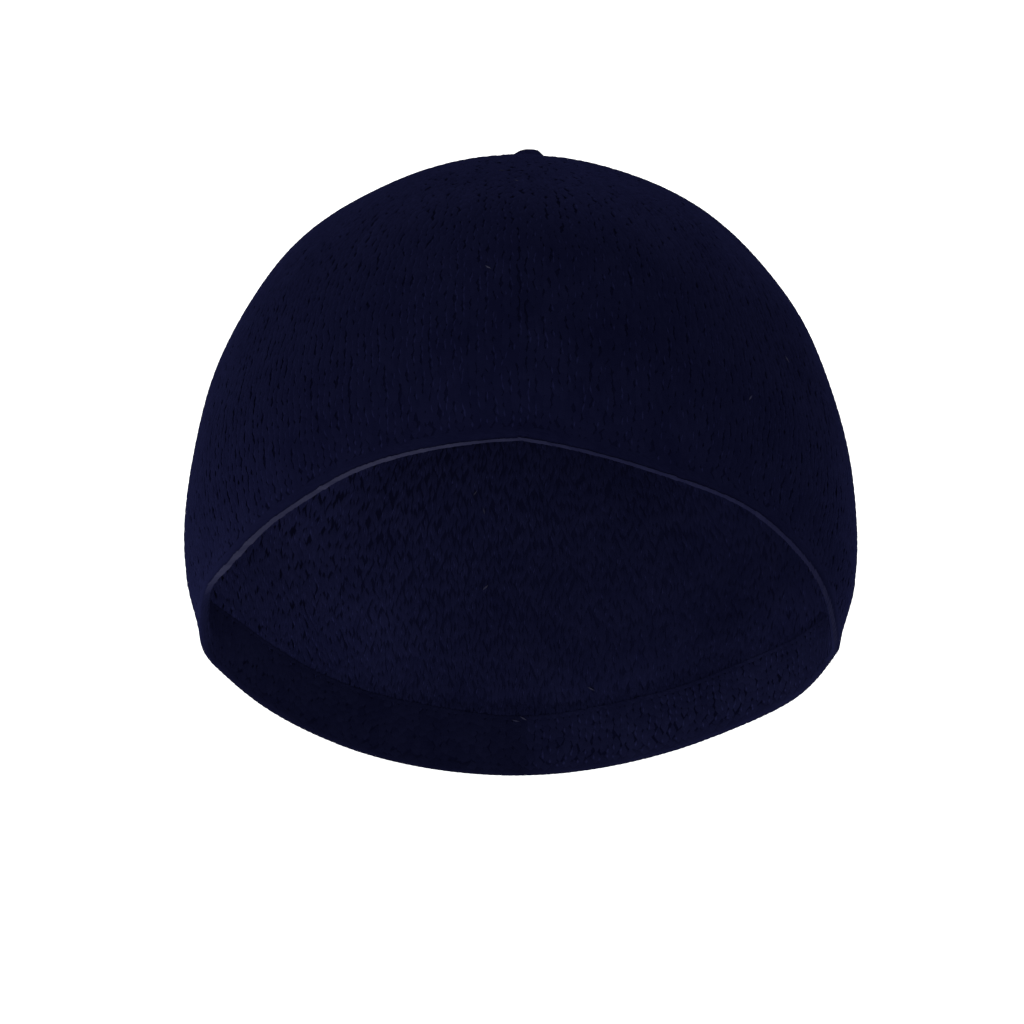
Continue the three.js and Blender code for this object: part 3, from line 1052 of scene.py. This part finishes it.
# reverse side of the wall: longer, looser loops behind the hem
reverseStitch = dict(
    faceStitch, coursePitch=3.1, firstRow=3, tuck=0.5, legs=2, width=1.24, length=6.0, height=0.3, lean=6.0,
    seed=47, turnSpread=6.0, phase=0.5, stagger=0.0, widthSpread=0.13, sizeSpread=0.08, jog=0.28, drift=0.12,
    plyLeft=0.25, plyRight=0.14, tone=reversePaintedLight, fill=reverseFill, rise=reverseRise,
)


def reverseSpots():
    look = reverseStitch
    rng = np.random.default_rng(look["seed"])
    count = int(wallLength / look["coursePitch"])
    parts = []
    for row in range(look["firstRow"], count):
        course = (row + 0.5) / count
        spots = courseStitches(innerFace, course, -1, 1 / count, row, look, rng)
        parts.append(pickSpots(spots, course * wallLength > hemEdge(spots["angle"]) - look["tuck"]))
    return joinSpots(parts)


inside = reverseSpots()
left = inside["place"][:, 0] < 0
reversePieces = [
    stitchPiece("reverseLeft", pickSpots(inside, left), reverseStitch, insideMaterial),
    stitchPiece("reverseRight", pickSpots(inside, ~left), reverseStitch, insideMaterial),
]
knitPieces += reversePieces

# loose fibres that cling to the knit: step along the wale, angle round the cap and lean, in degrees
lintForm = {
    "width": 0.42, "length": 2.3, "height": 0.16, "lift": 0.42,
    "sizeSpread": 0.15, "turnSpread": 4.0, "seed": 61,
    "outside": (
        (0.311, 95.5, 42.0), (0.73, 95.8, 70.0), (0.65, 91.2, 30.0),
        (0.1715, 49.8, -35.0), (0.315, 35.8, 25.0),
    ),
    "inside": ((0.275, 263.5, -40.0), (0.129, 283.2, 60.0), (0.393, 261.2, -30.0), (0.371, 263.0, 15.0)),
    "hem": ((17.2, 269.0, 80.0), (18.0, 270.4, 60.0)),
}


def lintSpots():
    parts = []
    for label, face, side, step in (
        ("outside", outerFace, 1, 0.002), ("inside", innerFace, -1, 0.002), ("hem", hemFace, -1, 0.2),
    ):
        along, angle, lean = np.array(lintForm[label]).T
        slant = (90 - lean)[:, None]
        parts.append(lineSpots(face, along, np.radians(angle), side, step, lintForm["lift"], slant))
    return joinSpots(parts)


knitPieces.append(stitchPiece("lint", lintSpots(), lintForm, lintMaterial))
leafMesh = leafShape.data
bpy.data.objects.remove(leafShape)
bpy.data.meshes.remove(leafMesh)

for piece in (capWall, hemPly, *knitPieces):
    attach(piece, "root")
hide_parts("crown")
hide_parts("hem_band")
print("pieces ride on the frame")

# pale floor, white surroundings and soft light, in metres: the key and back light shape the cap,
# the fill reaches into its hollow, and the wash keeps the floor white without a hard shadow
studio = {
    "floorSize": 6.0, "floorDrop": 0.0002, "floorTone": (0.93, 0.93, 0.93), "floorRoughness": 0.9,
    "world": 0.35, "aim": (0.0, -0.02, 0.06),
    "key": ((-0.30, -1.15, 1.08), 1.3, 26.0),  # place, size, power
    "back": ((0.5, 1.25, 1.1), 1.2, 8.0),
    "fill": ((0.75, -1.25, 0.60), 0.9, 12.0),
    "wash": ((0.0, 0.0, 2.2), 3.0, 110.0),
}


def paleFloor():
    half = studio["floorSize"] / 2
    mesh = bpy.data.meshes.new("floor")
    corners = [(-half, -half, 0), (half, -half, 0), (half, half, 0), (-half, half, 0)]
    mesh.from_pydata(corners, [], [(0, 1, 2, 3)])
    material = bpy.data.materials.new("paleFloor")
    material.use_nodes = True
    shader = material.node_tree.nodes["Principled BSDF"]
    shader.inputs["Base Color"].default_value = (*studio["floorTone"], 1.0)
    shader.inputs["Roughness"].default_value = studio["floorRoughness"]
    shader.inputs["Specular IOR Level"].default_value = 0.0
    mesh.materials.append(material)
    piece = bpy.data.objects.new("floor", mesh)
    piece.location.z = -studio["floorDrop"]
    bpy.context.scene.collection.objects.link(piece)
    return piece


floor = paleFloor()

world = bpy.data.worlds.new("studio")
world.use_nodes = True
world.node_tree.nodes["Background"].inputs["Color"].default_value = (1.0, 1.0, 1.0, 1.0)
world.node_tree.nodes["Background"].inputs["Strength"].default_value = studio["world"]
bpy.context.scene.world = world


def softLight(name, place, size, power):
    lamp = bpy.data.lights.new(name, "AREA")
    lamp.size = size
    lamp.energy = power
    light = bpy.data.objects.new(name, lamp)
    bpy.context.scene.collection.objects.link(light)
    light.location = place
    aim = Vector(studio["aim"]) - Vector(place)
    light.rotation_mode = "QUATERNION"
    light.rotation_quaternion = aim.to_track_quat("-Z", "Y")
    return light


def lightGroup(name, pieces):
    group = bpy.data.collections.new(name)
    for piece in pieces:
        group.objects.link(piece)
    return group


capGroup = lightGroup("capGroup", (capWall, hemPly, *knitPieces))
hollowGroup = lightGroup("hollowGroup", (hemPly, hemStitches, hemEdging, rimInside, *reversePieces))
floorGroup = lightGroup("floorGroup", (floor,))
for label, group in (("key", capGroup), ("back", capGroup), ("fill", hollowGroup), ("wash", floorGroup)):
    light = softLight(label, *studio[label])
    light.light_linking.receiver_collection = group
    if group is floorGroup:
        light.light_linking.blocker_collection = floorGroup

# camera at the photograph's height and distance
viewPoint = {"place": (-0.00254, -0.4698, 0.7796), "tilt": 31.0, "lens": 110.3, "sensor": 36.0}
cameraData = bpy.data.cameras.new("camera")
cameraData.lens = viewPoint["lens"]
cameraData.sensor_width = viewPoint["sensor"]
camera = bpy.data.objects.new("camera", cameraData)
camera.location = viewPoint["place"]
camera.rotation_euler = (math.radians(viewPoint["tilt"]), 0, 0)
bpy.context.scene.collection.objects.link(camera)
bpy.context.scene.camera = camera
bpy.context.scene.view_settings.view_transform = "Standard"
print("studio and camera ready")
